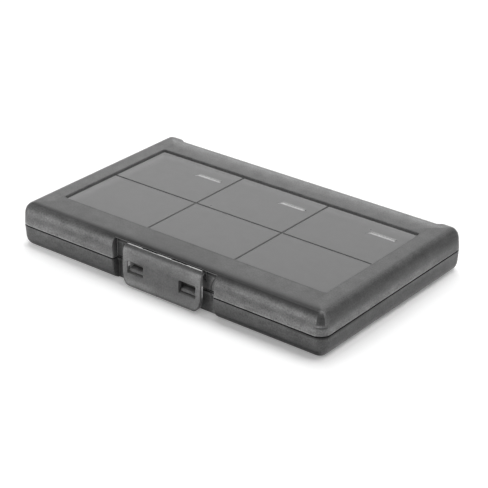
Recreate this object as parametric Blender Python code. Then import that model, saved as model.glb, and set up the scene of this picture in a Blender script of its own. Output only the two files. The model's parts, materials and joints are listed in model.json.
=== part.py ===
"""Game card case: a slim clamshell with a rear hinge, a front snap latch and
two moulded card trays. Metres, +Z up. X runs along the length, +Y is the rear
(hinge) side, and the origin is the middle of the underside."""

import math

import bmesh
import bpy
from mathutils import Matrix, Vector

# Case, closed
CASE_LENGTH = 0.1500
CASE_DEPTH = 0.0924
CORNER_RADIUS = 0.0044
WALL = 0.0018
PARTING_GAP = 0.0003

# Card pockets and trays
POCKET_LENGTH = 0.0318
POCKET_WIDTH = 0.0220
POCKET_DEPTH = 0.0046
POCKET_CORNER = 0.0008
POCKET_RIB_X = 0.0031
POCKET_RIB_Y = 0.0032
TRAY_MARGIN = 0.0022
TRAY_FLOOR = 0.0012
TRAY_SIDE_GAP = 0.0004
TRAY_SEAT_GAP = 0.0003
TRAY_SPACE = 0.0012
SCOOP_RADIUS = 0.0070
SCOOP_DEPTH = 0.0033
SCOOP_END = 0.0030
NIB_RADIUS = 0.00045
NIB_LENGTH = 0.0060
NIB_DROP = 0.0008

# Lid panel: a sunk field of flat tiles
PANEL_SINK = 0.0013
RIM_SIDE = 0.0102
RIM_FRONT = 0.01545
RIM_REAR = 0.01605
RECESS_CORNER = 0.0007
TILE_COLUMNS = 3
TILE_ROWS = 2
GROOVE_WIDTH = 0.0008
GROOVE_DEPTH = 0.0005
GROOVE_LEAN = 0.33
BAR_LENGTH = 0.0116
BAR_WIDTH = 0.0013
BAR_DEPTH = 0.00035
BAR_ACROSS = 0.756
BAR_FROM_REAR = 0.297
BAR_TAIL_LENGTH = 0.0018
BAR_TAIL_SHIFT = 0.0026

# Outer surfaces
BASE_DRAFT = 0.00055
BASE_ROUND = 0.0037
CAVITY_ROUND = 0.0022
LID_DRAFT = 0.0003
SHOULDER_WIDTH = 0.0039
SHOULDER_HEIGHT = 0.0048
REAR_SETBACK = 0.0014
REAR_EAR_WIDTH = 0.0078
REAR_EAR_BLEND = 0.0026
EDGE_ROUND = 0.0003
MOUTH_ROUND = 0.0006
MOUTH_START = 258.0

# Lip that registers the lid on the base
LIP_THICKNESS = 0.0007
LIP_HEIGHT = 0.0012
LIP_GAP = 0.0003

# Rear hinge
HINGE_FROM_END = 0.0300
HINGE_STANDOFF = 0.0003
BARREL_RADIUS = 0.0023
BARREL_END_WIDTH = 0.0050
BARREL_MIDDLE_WIDTH = 0.0080
BARREL_END_GAP = 0.0003
HINGE_PIN_RADIUS = 0.00095
HINGE_PIN_CLEARANCE = 0.00025
GUSSET_DROP = 0.0048
GUSSET_RELIEF = 0.0005

# Front notch and latch
NOTCH_WIDTH = 0.0500
NOTCH_DEPTH = 0.0030
NOTCH_STEP = 0.0006
NOTCH_LIP = 0.0012
NOTCH_WALL = 0.0032
NOTCH_ROOF_DROP = 0.0007
LATCH_SIDE_GAP = 0.0058
LATCH_PROUD = 0.0006
LATCH_PLATE = 0.0017
LATCH_TOP_DROP = 0.00085
LATCH_TIP_WIDTH = 0.00080
LATCH_FOOT = 0.00055
LATCH_FLARE = 0.00045
LATCH_FOOT_RADIUS = 0.0045
LATCH_TOP_RADIUS = 0.0009
LATCH_EDGE_ROUND = 0.00028
LATCH_EDGE_ANGLE = 40.0
PIVOT_DROP = 0.00215
PIVOT_INSET = 0.0018
KNUCKLE_RADIUS = 0.00105
KNUCKLE_COUNT = 5
KNUCKLE_SPAN = 0.0360
KNUCKLE_GAP = 0.0003
KNUCKLE_CLEARANCE = 0.00025
LUG_ROOT_HIGH = 0.0032
LUG_ROOT_LOW = 0.0050
LATCH_PIN_RADIUS = 0.00045
LATCH_PIN_CLEARANCE = 0.00015
HOOK_SPACING = 0.0258
WINDOW_WIDTH = 0.0082
WINDOW_HEIGHT = 0.0052
WINDOW_CORNER = 0.0004
HOOK_SIDE_GAP = 0.0004
HOOK_UNDER_GAP = 0.0007
HOOK_DROP = 0.0022
HOOK_SINK = 0.0009
HOOK_NOSE = 0.0010
HOOK_RISE = 0.0020

# How far in from each face a rounded edge passes at its middle, as a share
ROUND_MIDDLE = 0.29

# How finely round shapes are stepped
CORNER_STEPS = 6
SHOULDER_STEPS = 8
ROUND_STEPS = 5
BARREL_STEPS = 24
PIN_STEPS = 20
FOOT_STEPS = 8
NIB_STEPS = 8
SMALL_STEPS = 3
POCKET_STEPS = 2
SHADE_ANGLE = 32.0

# How far a cutter reaches past the face that it opens
OVERSHOOT = 0.0010

# Heights that follow from the card stack
TRAY_HEIGHT = TRAY_FLOOR + POCKET_DEPTH
CASE_HEIGHT = 2 * (WALL + TRAY_SEAT_GAP + TRAY_HEIGHT) + TRAY_SPACE + PANEL_SINK
BASE_HEIGHT = (CASE_HEIGHT - PARTING_GAP) / 2
LID_BOTTOM = BASE_HEIGHT + PARTING_GAP
PANEL_TOP = CASE_HEIGHT - PANEL_SINK
PANEL_UNDERSIDE = PANEL_TOP - WALL
BASE_TRAY_BOTTOM = WALL + TRAY_SEAT_GAP
BASE_TRAY_TOP = BASE_TRAY_BOTTOM + TRAY_HEIGHT
LID_TRAY_TOP = PANEL_UNDERSIDE - TRAY_SEAT_GAP
LID_TRAY_BOTTOM = LID_TRAY_TOP - TRAY_HEIGHT

# Places that follow from the plan
HALF_LENGTH = CASE_LENGTH / 2
FRONT = -CASE_DEPTH / 2
REAR = CASE_DEPTH / 2
REAR_FACE = REAR - REAR_SETBACK
NOTCH_FLOOR = FRONT + NOTCH_DEPTH
HINGE_CENTRES = (-HALF_LENGTH + HINGE_FROM_END, HALF_LENGTH - HINGE_FROM_END)
HOOK_CENTRES = (-HOOK_SPACING / 2, HOOK_SPACING / 2)
LATCH_WIDTH = NOTCH_WIDTH - 2 * LATCH_SIDE_GAP
HINGE_Y = REAR_FACE + HINGE_STANDOFF + BARREL_RADIUS
HINGE_Z = LID_BOTTOM
SHOULDER_BASE = CASE_HEIGHT - SHOULDER_HEIGHT


def lid_inset(height):
    """How far the lid's outer face lies inside the parting outline."""
    rise = (height - LID_BOTTOM) / (SHOULDER_BASE - LID_BOTTOM)
    draft = LID_DRAFT * min(max(rise, 0.0), 1.0)
    lift = min(max((height - SHOULDER_BASE) / SHOULDER_HEIGHT, 0.0), 1.0)
    return draft + SHOULDER_WIDTH * (1 - math.sqrt(1 - lift * lift))


LATCH_TOP = CASE_HEIGHT - LATCH_TOP_DROP
PIVOT_Z = LATCH_TOP - PIVOT_DROP
PIVOT_Y = FRONT + lid_inset(PIVOT_Z) - LATCH_PROUD + PIVOT_INSET
LATCH_TIP_Y = FRONT + lid_inset(LATCH_TOP) - LATCH_PROUD
LATCH_TIP_REAR = LATCH_TIP_Y + LATCH_TIP_WIDTH
TIP_REACH = math.hypot(max(PIVOT_Y - LATCH_TIP_Y, LATCH_TIP_REAR - PIVOT_Y), PIVOT_DROP)
HOOK_UNDERSIDE = BASE_HEIGHT - HOOK_DROP
WINDOW_BOTTOM = HOOK_UNDERSIDE - HOOK_UNDER_GAP
HOOK_TIP = FRONT - LATCH_PROUD + HOOK_SINK

AXIS_FRAMES = {
    "X": lambda u, v, w: Vector((w, u, v)),
    "Y": lambda u, v, w: Vector((u, w, v)),
    "Z": lambda u, v, w: Vector((u, v, w)),
}


def clear_scene():
    for item in list(bpy.data.objects):
        bpy.data.objects.remove(item, do_unlink=True)


def make_material(name, colour, roughness, metallic=0.0):
    surface = bpy.data.materials.new(name)
    surface.use_nodes = True
    shader = surface.node_tree.nodes["Principled BSDF"]
    shader.inputs["Base Color"].default_value = (*colour, 1.0)
    shader.inputs["Roughness"].default_value = roughness
    shader.inputs["Metallic"].default_value = metallic
    return surface


def add_loft(mesh, rings):
    """Skin a stack of equal-length rings and close both ends."""
    rows = [[mesh.verts.new(point) for point in ring] for ring in rings]
    count = len(rows[0])
    for lower, upper in zip(rows, rows[1:]):
        for index in range(count):
            after = (index + 1) % count
            mesh.faces.new((lower[index], lower[after], upper[after], upper[index]))
    mesh.faces.new(list(reversed(rows[0])))
    mesh.faces.new(rows[-1])


def add_prism(mesh, outline, axis, low, high):
    """Extrude a flat outline along an axis. The outline's two coordinates are
    the other two axes, in X, Y, Z order."""
    place = AXIS_FRAMES[axis]
    add_loft(mesh, [[place(u, v, w) for u, v in outline] for w in (low, high)])


def new_object(name, mesh, surface=None):
    """Turn a bmesh into an object with its faces pointing out."""
    bmesh.ops.recalc_face_normals(mesh, faces=mesh.faces)
    data = bpy.data.meshes.new(name)
    mesh.to_mesh(data)
    mesh.free()
    item = bpy.data.objects.new(name, data)
    bpy.context.scene.collection.objects.link(item)
    if surface:
        data.materials.append(surface)
    return item


def prism_object(name, outline, axis, spans, surface=None):
    """One object holding a copy of the prism for each (low, high) span."""
    mesh = bmesh.new()
    for low, high in spans:
        add_prism(mesh, outline, axis, low, high)
    return new_object(name, mesh, surface)


def combine(target, tool, operation):
    """Leave a Boolean on the target and turn the tool into a hidden guide."""
    step = target.modifiers.new(tool.name, "BOOLEAN")
    step.operation = operation
    step.solver = "EXACT"
    step.object = tool
    tool.hide_render = True
    tool.display_type = "WIRE"


def cut(target, tool):
    combine(target, tool, "DIFFERENCE")


def fuse(target, tool):
    combine(target, tool, "UNION")


def round_edges(target, width, angle):
    step = target.modifiers.new("round_edges", "BEVEL")
    step.width = width
    step.segments = 2
    step.limit_method = "ANGLE"
    step.angle_limit = math.radians(angle)
    step.use_clamp_overlap = True


def shade(item):
    item.data.shade_smooth()
    item.data.set_sharp_from_angle(angle=math.radians(SHADE_ANGLE))


def rectangle(low_u, high_u, low_v, high_v):
    return [(low_u, low_v), (high_u, low_v), (high_u, high_v), (low_u, high_v)]


def rounded_rectangle(low_u, high_u, low_v, high_v, radius, steps=SMALL_STEPS):
    points = []
    corners = (
        (high_u - radius, high_v - radius, 0),
        (low_u + radius, high_v - radius, 90),
        (low_u + radius, low_v + radius, 180),
        (high_u - radius, low_v + radius, 270),
    )
    for centre_u, centre_v, start in corners:
        for step in range(steps + 1):
            turn = math.radians(start + 90 * step / steps)
            points.append((centre_u + radius * math.cos(turn), centre_v + radius * math.sin(turn)))
    return points


def arc(centre, radius, start, end, steps):
    """Points on an arc, angles in degrees from the first axis to the second."""
    points = []
    for step in range(steps + 1):
        turn = math.radians(start + (end - start) * step / steps)
        points.append((centre[0] + radius * math.cos(turn), centre[1] + radius * math.sin(turn)))
    return points


def circle(centre, radius, steps):
    return arc(centre, radius, 0, 360, steps)[:-1]


def corner_arc(side_x, side_y, radius, start):
    """A plan corner as (x, y, inward x, inward y)."""
    centre_x = side_x * (HALF_LENGTH - CORNER_RADIUS)
    centre_y = side_y * (REAR - CORNER_RADIUS)
    points = []
    for step in range(CORNER_STEPS + 1):
        turn = math.radians(start + 90 * step / CORNER_STEPS)
        across = math.cos(turn)
        along = math.sin(turn)
        points.append((centre_x + radius * across, centre_y + radius * along, -across, -along))
    return points


def rear_ear(side, inset):
    """The blend from a proud rear corner to the face set back between them."""
    outer = HALF_LENGTH - REAR_EAR_WIDTH
    points = []
    for step in range(ROUND_STEPS + 1):
        share = step / ROUND_STEPS
        ease = share * share * (3 - 2 * share)
        x = side * (outer - REAR_EAR_BLEND * share)
        points.append((x, REAR - inset - REAR_SETBACK * ease, 0.0, -1.0))
    return points if side > 0 else list(reversed(points))


def ring(marks, inset, height):
    return [Vector((x + in_x * inset, y + in_y * inset, height)) for x, y, in_x, in_y in marks]


def outer_marks():
    """The parting outline, anticlockwise from the front left corner."""
    return (
        corner_arc(-1, -1, CORNER_RADIUS, 180)
        + corner_arc(1, -1, CORNER_RADIUS, 270)
        + corner_arc(1, 1, CORNER_RADIUS, 0)
        + rear_ear(1, 0.0)
        + rear_ear(-1, 0.0)
        + corner_arc(-1, 1, CORNER_RADIUS, 90)
    )


def inner_marks():
    """The cavity's outline, stepped in behind the latch notch."""
    radius = CORNER_RADIUS - WALL
    step_x = NOTCH_WIDTH / 2 + NOTCH_WALL
    near = FRONT + WALL
    far = NOTCH_FLOOR + NOTCH_WALL
    notch = [
        (-step_x, near, -1.0, 1.0),
        (-step_x, far, -1.0, 1.0),
        (step_x, far, 1.0, 1.0),
        (step_x, near, 1.0, 1.0),
    ]
    return (
        corner_arc(-1, -1, radius, 180)
        + notch
        + corner_arc(1, -1, radius, 270)
        + corner_arc(1, 1, radius, 0)
        + rear_ear(1, WALL)
        + rear_ear(-1, WALL)
        + corner_arc(-1, 1, radius, 90)
    )


def loft_object(name, marks, profile, surface=None):
    """Loft an outline through a list of (inset, height) pairs."""
    mesh = bmesh.new()
    add_loft(mesh, [ring(marks, inset, height) for inset, height in profile])
    return new_object(name, mesh, surface)


def edge_turn(height, sense):
    """Three (inset, height) pairs that round the edge at a parting face."""
    return [
        (0.0, height - sense * EDGE_ROUND),
        (EDGE_ROUND * ROUND_MIDDLE, height - sense * EDGE_ROUND * ROUND_MIDDLE),
        (EDGE_ROUND, height),
    ]


def base_profile():
    """The base's outer face, from the underside up to the parting line."""
    profile = []
    for step in range(ROUND_STEPS + 1):
        turn = math.radians(90 * step / ROUND_STEPS)
        height = BASE_ROUND * (1 - math.cos(turn))
        draft = BASE_DRAFT * (1 - height / BASE_HEIGHT)
        profile.append((draft + BASE_ROUND * (1 - math.sin(turn)), height))
    return profile + edge_turn(BASE_HEIGHT, 1)


def lid_profile():
    """The lid's outer face, from the parting line up to the rim."""
    profile = list(reversed(edge_turn(LID_BOTTOM, -1)))
    for step in range(SHOULDER_STEPS + 1):
        turn = math.radians(90 * step / SHOULDER_STEPS)
        height = SHOULDER_BASE + SHOULDER_HEIGHT * math.sin(turn)
        profile.append((LID_DRAFT + SHOULDER_WIDTH * (1 - math.cos(turn)), height))
    return profile


def cavity_profile(floor, mouth, radius):
    """An inside face with a rounded floor edge. A mouth above the floor opens
    upward, one below it opens downward."""
    sense = 1 if mouth > floor else -1
    profile = []
    for step in range(ROUND_STEPS + 1):
        turn = math.radians(90 * step / ROUND_STEPS)
        profile.append((radius * (1 - math.sin(turn)), floor + sense * radius * (1 - math.cos(turn))))
    profile.append((0.0, mouth))
    return profile


def notch_object(name, profile):
    """The latch notch as a cutter, from (inset, height, depth) levels. Its mouth
    is rounded to meet the front face at each height."""
    half = NOTCH_WIDTH / 2
    mesh = bmesh.new()
    rings = []
    for inset, height, depth in profile:
        face = FRONT + min(inset, depth - MOUTH_ROUND * (1 + ROUND_MIDDLE))
        centre = (half + MOUTH_ROUND, face + MOUTH_ROUND)
        bend = arc(centre, MOUTH_ROUND, MOUTH_START, 180, ROUND_STEPS)
        side = [(bend[0][0], face - OVERSHOOT)] + bend + [(half, FRONT + depth)]
        outline = side + [(-x, y) for x, y in reversed(side)]
        rings.append([Vector((x, y, height)) for x, y in outline])
    add_loft(mesh, rings)
    return new_object(name, mesh)


def hinge_spans(kind):
    """X spans of the hinge barrels: 'end' pairs, 'middle' ones or whole 'pin's."""
    reach = BARREL_MIDDLE_WIDTH / 2 + BARREL_END_GAP
    spans = []
    for centre in HINGE_CENTRES:
        if kind == "middle":
            spans.append((centre - BARREL_MIDDLE_WIDTH / 2, centre + BARREL_MIDDLE_WIDTH / 2))
        elif kind == "end":
            spans.append((centre - reach - BARREL_END_WIDTH, centre - reach))
            spans.append((centre + reach, centre + reach + BARREL_END_WIDTH))
        else:
            spans.append((centre - reach - BARREL_END_WIDTH, centre + reach + BARREL_END_WIDTH))
    return spans


def barrel_outline(sense):
    """A hinge barrel with its gusset to the wall, below (-1) or above (1) the axis."""
    root = REAR_FACE - WALL / 2
    span = HINGE_Y - root
    reach = math.hypot(span, GUSSET_DROP)
    slope = math.atan2(GUSSET_DROP, span)
    tangent = 180 - math.degrees(slope) - math.degrees(math.acos(BARREL_RADIUS / reach))
    relief = math.degrees(math.asin(GUSSET_RELIEF / BARREL_RADIUS))
    sweep = arc((0, 0), BARREL_RADIUS, tangent, -180 - relief, BARREL_STEPS)
    shape = [(-span, GUSSET_RELIEF), (-span, GUSSET_DROP)] + sweep
    return [(HINGE_Y + u, HINGE_Z + sense * v) for u, v in shape]


def knuckle_spans(first):
    """Every second X span of the latch hinge, from the first or second one."""
    width = (KNUCKLE_SPAN - (KNUCKLE_COUNT - 1) * KNUCKLE_GAP) / KNUCKLE_COUNT
    spans = []
    for index in range(first, KNUCKLE_COUNT, 2):
        low = -KNUCKLE_SPAN / 2 + index * (width + KNUCKLE_GAP)
        spans.append((low, low + width))
    return spans


def lug_front_turn(radius, span):
    """Where the arm's front edge leaves an eye of this radius, in degrees."""
    lean = math.acos(radius / math.hypot(span, LUG_ROOT_LOW))
    return math.degrees(math.atan2(-LUG_ROOT_LOW, span) - lean) + 360


def lug_outline():
    """The lid's pivot lug: an eye on an arm that leans back to the notch floor."""
    span = NOTCH_FLOOR + NOTCH_WALL / 4 - PIVOT_Y
    lean = math.acos(KNUCKLE_RADIUS / math.hypot(span, LUG_ROOT_HIGH))
    back = math.degrees(math.atan2(-LUG_ROOT_HIGH, span) + lean)
    eye = arc((0, 0), KNUCKLE_RADIUS, back, lug_front_turn(KNUCKLE_RADIUS, span), PIN_STEPS)
    shape = [(span, -LUG_ROOT_LOW), (span, -LUG_ROOT_HIGH)] + eye
    return [(PIVOT_Y + u, PIVOT_Z + v) for u, v in shape]


def lug_relief_outline():
    """Room in the latch for a lug, and for the latch's tip to swing past it."""
    radius = KNUCKLE_RADIUS + KNUCKLE_CLEARANCE
    span = NOTCH_FLOOR - PIVOT_Y
    above = PIVOT_DROP + OVERSHOOT
    eye = arc((0, 0), radius, 90, lug_front_turn(radius, span), PIN_STEPS)
    shape = [(span, -LUG_ROOT_LOW), (span, above), (0, above)] + eye
    return [(PIVOT_Y + u, PIVOT_Z + v) for u, v in shape]


def base_notch_levels():
    """The base's notch is deeper below the lip that lies flush with the lid's."""
    deep = NOTCH_DEPTH + NOTCH_STEP
    ledge = BASE_HEIGHT - NOTCH_LIP
    ledge_inset = BASE_DRAFT * (1 - ledge / BASE_HEIGHT)
    levels = [(BASE_DRAFT + BASE_ROUND, -OVERSHOOT, deep)]
    levels += [(inset, height, deep) for inset, height in base_profile() if height < ledge]
    levels.append((ledge_inset, ledge - NOTCH_STEP / 2, deep))
    levels.append((ledge_inset, ledge, NOTCH_DEPTH))
    levels.append((0.0, BASE_HEIGHT - EDGE_ROUND, NOTCH_DEPTH))
    levels.append((0.0, BASE_HEIGHT + OVERSHOOT, NOTCH_DEPTH))
    return levels


def lid_notch_levels():
    """The lid's notch, from below the parting line up to its roof."""
    roof = CASE_HEIGHT - NOTCH_ROOF_DROP
    levels = [(0.0, LID_BOTTOM - OVERSHOOT, NOTCH_DEPTH)]
    for inset, height in lid_profile():
        if LID_BOTTOM + EDGE_ROUND < height < roof:
            levels.append((inset, height, NOTCH_DEPTH))
    levels.append((lid_inset(roof), roof, NOTCH_DEPTH))
    return levels


def build_base_shell(surface):
    shell = loft_object("base_shell", outer_marks(), base_profile(), surface)
    cut(shell, notch_object("base_notch_cut", base_notch_levels()))
    lip_profile = [
        (-LIP_THICKNESS, BASE_HEIGHT - WALL / 2),
        (-LIP_THICKNESS, BASE_HEIGHT + LIP_HEIGHT - LIP_THICKNESS / 2),
        (-LIP_THICKNESS / 2, BASE_HEIGHT + LIP_HEIGHT),
    ]
    fuse(shell, loft_object("base_lip", inner_marks(), lip_profile))
    mouth = BASE_HEIGHT + LIP_HEIGHT + OVERSHOOT
    cut(shell, loft_object("base_cavity_cut", inner_marks(), cavity_profile(WALL, mouth, CAVITY_ROUND)))
    fuse(shell, prism_object("base_barrels", barrel_outline(-1), "X", hinge_spans("end")))
    bore = circle((HINGE_Y, HINGE_Z), HINGE_PIN_RADIUS + HINGE_PIN_CLEARANCE, PIN_STEPS)
    bore_spans = [(low - OVERSHOOT, high + OVERSHOOT) for low, high in hinge_spans("pin")]
    cut(shell, prism_object("base_hinge_bore_cut", bore, "X", bore_spans))
    fuse(shell, build_hooks())
    return shell


def hook_spans():
    half = WINDOW_WIDTH / 2 - HOOK_SIDE_GAP
    return [(centre - half, centre + half) for centre in HOOK_CENTRES]


def build_hooks():
    """Two hooks on the base that the latch's windows drop over."""
    root = NOTCH_FLOOR + NOTCH_WALL / 2
    shape = [
        (root, HOOK_UNDERSIDE),
        (root, HOOK_UNDERSIDE + HOOK_RISE),
        (HOOK_TIP + HOOK_NOSE / 2, HOOK_UNDERSIDE + HOOK_NOSE),
        (HOOK_TIP, HOOK_UNDERSIDE + HOOK_NOSE / 2),
        (HOOK_TIP, HOOK_UNDERSIDE),
    ]
    return prism_object("base_hooks", shape, "X", hook_spans())


def panel_limits():
    """The recess in the lid's top: low x, high x, low y, high y."""
    half = HALF_LENGTH - RIM_SIDE
    return -half, half, FRONT + RIM_FRONT, REAR - RIM_REAR


def build_recess():
    """The panel's recess, with the rim's inner edge rounded."""
    low_x, high_x, low_y, high_y = panel_limits()
    levels = (
        (0.0, PANEL_TOP),
        (0.0, CASE_HEIGHT - EDGE_ROUND),
        (EDGE_ROUND * ROUND_MIDDLE, CASE_HEIGHT - EDGE_ROUND * ROUND_MIDDLE),
        (EDGE_ROUND, CASE_HEIGHT),
        (EDGE_ROUND + OVERSHOOT, CASE_HEIGHT + EDGE_ROUND),
    )
    rings = []
    for flare, height in levels:
        corner = RECESS_CORNER + flare
        plan = rounded_rectangle(low_x - flare, high_x + flare, low_y - flare, high_y + flare, corner)
        rings.append([Vector((x, y, height)) for x, y in plan])
    mesh = bmesh.new()
    add_loft(mesh, rings)
    return new_object("lid_recess_cut", mesh)


def groove_section(centre):
    """A groove across the panel with leaning sides, in (across, height)."""
    top = GROOVE_WIDTH / 2
    foot = top - GROOVE_DEPTH * GROOVE_LEAN
    spread = top + OVERSHOOT * GROOVE_LEAN
    return [
        (centre - foot, PANEL_TOP - GROOVE_DEPTH),
        (centre + foot, PANEL_TOP - GROOVE_DEPTH),
        (centre + spread, PANEL_TOP + OVERSHOOT),
        (centre - spread, PANEL_TOP + OVERSHOOT),
    ]


def build_column_grooves():
    low_x, high_x, low_y, high_y = panel_limits()
    pitch = (high_x - low_x) / TILE_COLUMNS
    mesh = bmesh.new()
    for column in range(1, TILE_COLUMNS):
        add_prism(mesh, groove_section(low_x + column * pitch), "Y", low_y, high_y)
    return new_object("lid_column_groove_cut", mesh)


def build_row_grooves():
    low_x, high_x, low_y, high_y = panel_limits()
    pitch = (high_y - low_y) / TILE_ROWS
    mesh = bmesh.new()
    for row in range(1, TILE_ROWS):
        add_prism(mesh, groove_section(low_y + row * pitch), "X", low_x, high_x)
    return new_object("lid_row_groove_cut", mesh)


def bar_section(x, rear, depth):
    """A finger mark's wedge at one station, as deep as given at its rear edge."""
    spread = BAR_WIDTH * (depth + BAR_DEPTH) / BAR_DEPTH
    return [
        Vector((x, rear, PANEL_TOP - depth)),
        Vector((x, rear, PANEL_TOP + BAR_DEPTH)),
        Vector((x, rear - spread, PANEL_TOP + BAR_DEPTH)),
    ]


def build_bars():
    """A shallow sloped finger mark in each rear tile. Its left end fades out in a
    short tail that bends to the front."""
    low_x, high_x, low_y, high_y = panel_limits()
    column_pitch = (high_x - low_x) / TILE_COLUMNS
    row_pitch = (high_y - low_y) / TILE_ROWS
    rear = high_y - BAR_FROM_REAR * row_pitch + BAR_WIDTH / 2
    mesh = bmesh.new()
    for column in range(TILE_COLUMNS):
        centre = low_x + (column + BAR_ACROSS) * column_pitch
        left = centre - BAR_LENGTH / 2
        rings = [
            bar_section(left - BAR_TAIL_LENGTH, rear - BAR_TAIL_SHIFT, -BAR_DEPTH / 10),
            bar_section(left, rear, BAR_DEPTH),
            bar_section(left + BAR_LENGTH, rear, BAR_DEPTH),
        ]
        add_loft(mesh, rings)
    return new_object("lid_bar_cut", mesh)


def build_lid_shell(surface):
    shell = loft_object("lid_shell", outer_marks(), lid_profile(), surface)
    cut(shell, notch_object("lid_notch_cut", lid_notch_levels()))
    rebate = -(LIP_THICKNESS + LIP_GAP)
    rebate_top = BASE_HEIGHT + LIP_HEIGHT + LIP_GAP
    profile = cavity_profile(CASE_HEIGHT - WALL, rebate_top, CAVITY_ROUND)
    profile += [(rebate, rebate_top), (rebate, LID_BOTTOM - OVERSHOOT)]
    cut(shell, loft_object("lid_cavity_cut", inner_marks(), profile))
    low_x, high_x, low_y, high_y = panel_limits()
    slab = rectangle(low_x - WALL, high_x + WALL, low_y - WALL, high_y + WALL)
    slab_span = [(PANEL_UNDERSIDE, CASE_HEIGHT - WALL / 2)]
    fuse(shell, prism_object("lid_panel_slab", slab, "Z", slab_span))
    cut(shell, build_recess())
    cut(shell, build_column_grooves())
    cut(shell, build_row_grooves())
    cut(shell, build_bars())
    fuse(shell, prism_object("lid_barrels", barrel_outline(1), "X", hinge_spans("middle")))
    bore = circle((HINGE_Y, HINGE_Z), HINGE_PIN_RADIUS + HINGE_PIN_CLEARANCE, PIN_STEPS)
    bore_spans = [(low - OVERSHOOT, high + OVERSHOOT) for low, high in hinge_spans("pin")]
    cut(shell, prism_object("lid_hinge_bore_cut", bore, "X", bore_spans))
    sweep = circle((PIVOT_Y, PIVOT_Z), TIP_REACH + KNUCKLE_CLEARANCE, BARREL_STEPS)
    half = LATCH_WIDTH / 2 + KNUCKLE_GAP
    cut(shell, prism_object("lid_latch_sweep_cut", sweep, "X", [(-half, half)]))
    fuse(shell, prism_object("lid_lugs", lug_outline(), "X", knuckle_spans(1)))
    pin_hole = circle((PIVOT_Y, PIVOT_Z), LATCH_PIN_RADIUS + LATCH_PIN_CLEARANCE, PIN_STEPS)
    cut(shell, prism_object("lid_latch_bore_cut", pin_hole, "X", [(-half, half)]))
    return shell


def latch_section():
    """The latch plate from the side, in (y, z): it follows the lid's shoulder
    at the top and flares forward to a finger lift at the foot."""
    outer = []
    for step in range(SHOULDER_STEPS + 1):
        height = LATCH_TOP + (SHOULDER_BASE - LATCH_TOP) * step / SHOULDER_STEPS
        outer.append((FRONT + lid_inset(height) - LATCH_PROUD, height))
    flare_top = LID_BOTTOM
    foot_round = LATCH_PLATE / 2
    for step in range(ROUND_STEPS + 1):
        share = step / ROUND_STEPS
        height = flare_top + (LATCH_FOOT + foot_round - flare_top) * share
        outer.append((FRONT - LATCH_PROUD - LATCH_FLARE * share * share, height))
    foot_y = FRONT - LATCH_PROUD - LATCH_FLARE
    foot = arc((foot_y + foot_round, LATCH_FOOT + foot_round), foot_round, 180, 360, FOOT_STEPS)[1:-1]
    inner = [(y + LATCH_PLATE, z) for y, z in reversed(outer) if z < PIVOT_Z]
    return outer + foot + inner + [(LATCH_TIP_REAR, PIVOT_Z), (LATCH_TIP_REAR, LATCH_TOP)]


def latch_front_outline():
    """The latch from the front, in (x, z), with rounded lower corners."""
    half = LATCH_WIDTH / 2
    low = LATCH_FOOT
    high = LATCH_TOP
    corners = (
        (half - LATCH_TOP_RADIUS, high - LATCH_TOP_RADIUS, LATCH_TOP_RADIUS, 0, SMALL_STEPS),
        (-half + LATCH_TOP_RADIUS, high - LATCH_TOP_RADIUS, LATCH_TOP_RADIUS, 90, SMALL_STEPS),
        (-half + LATCH_FOOT_RADIUS, low + LATCH_FOOT_RADIUS, LATCH_FOOT_RADIUS, 180, FOOT_STEPS),
        (half - LATCH_FOOT_RADIUS, low + LATCH_FOOT_RADIUS, LATCH_FOOT_RADIUS, 270, FOOT_STEPS),
    )
    points = []
    for centre_x, centre_z, radius, start, steps in corners:
        points += arc((centre_x, centre_z), radius, start, start + 90, steps)
    return points


def build_latch(surface):
    half = LATCH_WIDTH / 2
    wide = [(-half - OVERSHOOT, half + OVERSHOOT)]
    latch = prism_object("latch", latch_section(), "X", wide, surface)
    deep = [(FRONT - NOTCH_DEPTH, NOTCH_FLOOR)]
    combine(latch, prism_object("latch_front_trim", latch_front_outline(), "Y", deep), "INTERSECT")
    round_edges(latch, LATCH_EDGE_ROUND, LATCH_EDGE_ANGLE)
    eye = circle((PIVOT_Y, PIVOT_Z), KNUCKLE_RADIUS, BARREL_STEPS)
    fuse(latch, prism_object("latch_knuckles", eye, "X", knuckle_spans(0)))
    spans = [(low - KNUCKLE_GAP, high + KNUCKLE_GAP) for low, high in knuckle_spans(1)]
    cut(latch, prism_object("latch_lug_cut", lug_relief_outline(), "X", spans))
    pin_hole = circle((PIVOT_Y, PIVOT_Z), LATCH_PIN_RADIUS + LATCH_PIN_CLEARANCE, PIN_STEPS)
    cut(latch, prism_object("latch_bore_cut", pin_hole, "X", [(-KNUCKLE_SPAN, KNUCKLE_SPAN)]))
    windows = bmesh.new()
    for centre in HOOK_CENTRES:
        low = centre - WINDOW_WIDTH / 2
        top = WINDOW_BOTTOM + WINDOW_HEIGHT
        frame = rounded_rectangle(low, low + WINDOW_WIDTH, WINDOW_BOTTOM, top, WINDOW_CORNER)
        add_prism(windows, frame, "Y", FRONT - NOTCH_DEPTH, NOTCH_FLOOR)
    cut(latch, new_object("latch_window_cut", windows))
    return latch


def tray_grid():
    """Pocket centres, as many as fit inside the tray's border."""
    side = WALL + TRAY_SIDE_GAP + TRAY_MARGIN
    low_y = NOTCH_FLOOR + NOTCH_WALL + TRAY_SIDE_GAP + TRAY_MARGIN
    high_y = REAR_FACE - side
    pitch_x = POCKET_LENGTH + POCKET_RIB_X
    pitch_y = POCKET_WIDTH + POCKET_RIB_Y
    columns = int((CASE_LENGTH - 2 * side + POCKET_RIB_X) / pitch_x)
    rows = int((high_y - low_y + POCKET_RIB_Y) / pitch_y)
    centre_y = (low_y + high_y) / 2
    across = [(column - (columns - 1) / 2) * pitch_x for column in range(columns)]
    along = [centre_y + (row - (rows - 1) / 2) * pitch_y for row in range(rows)]
    return across, along


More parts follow.
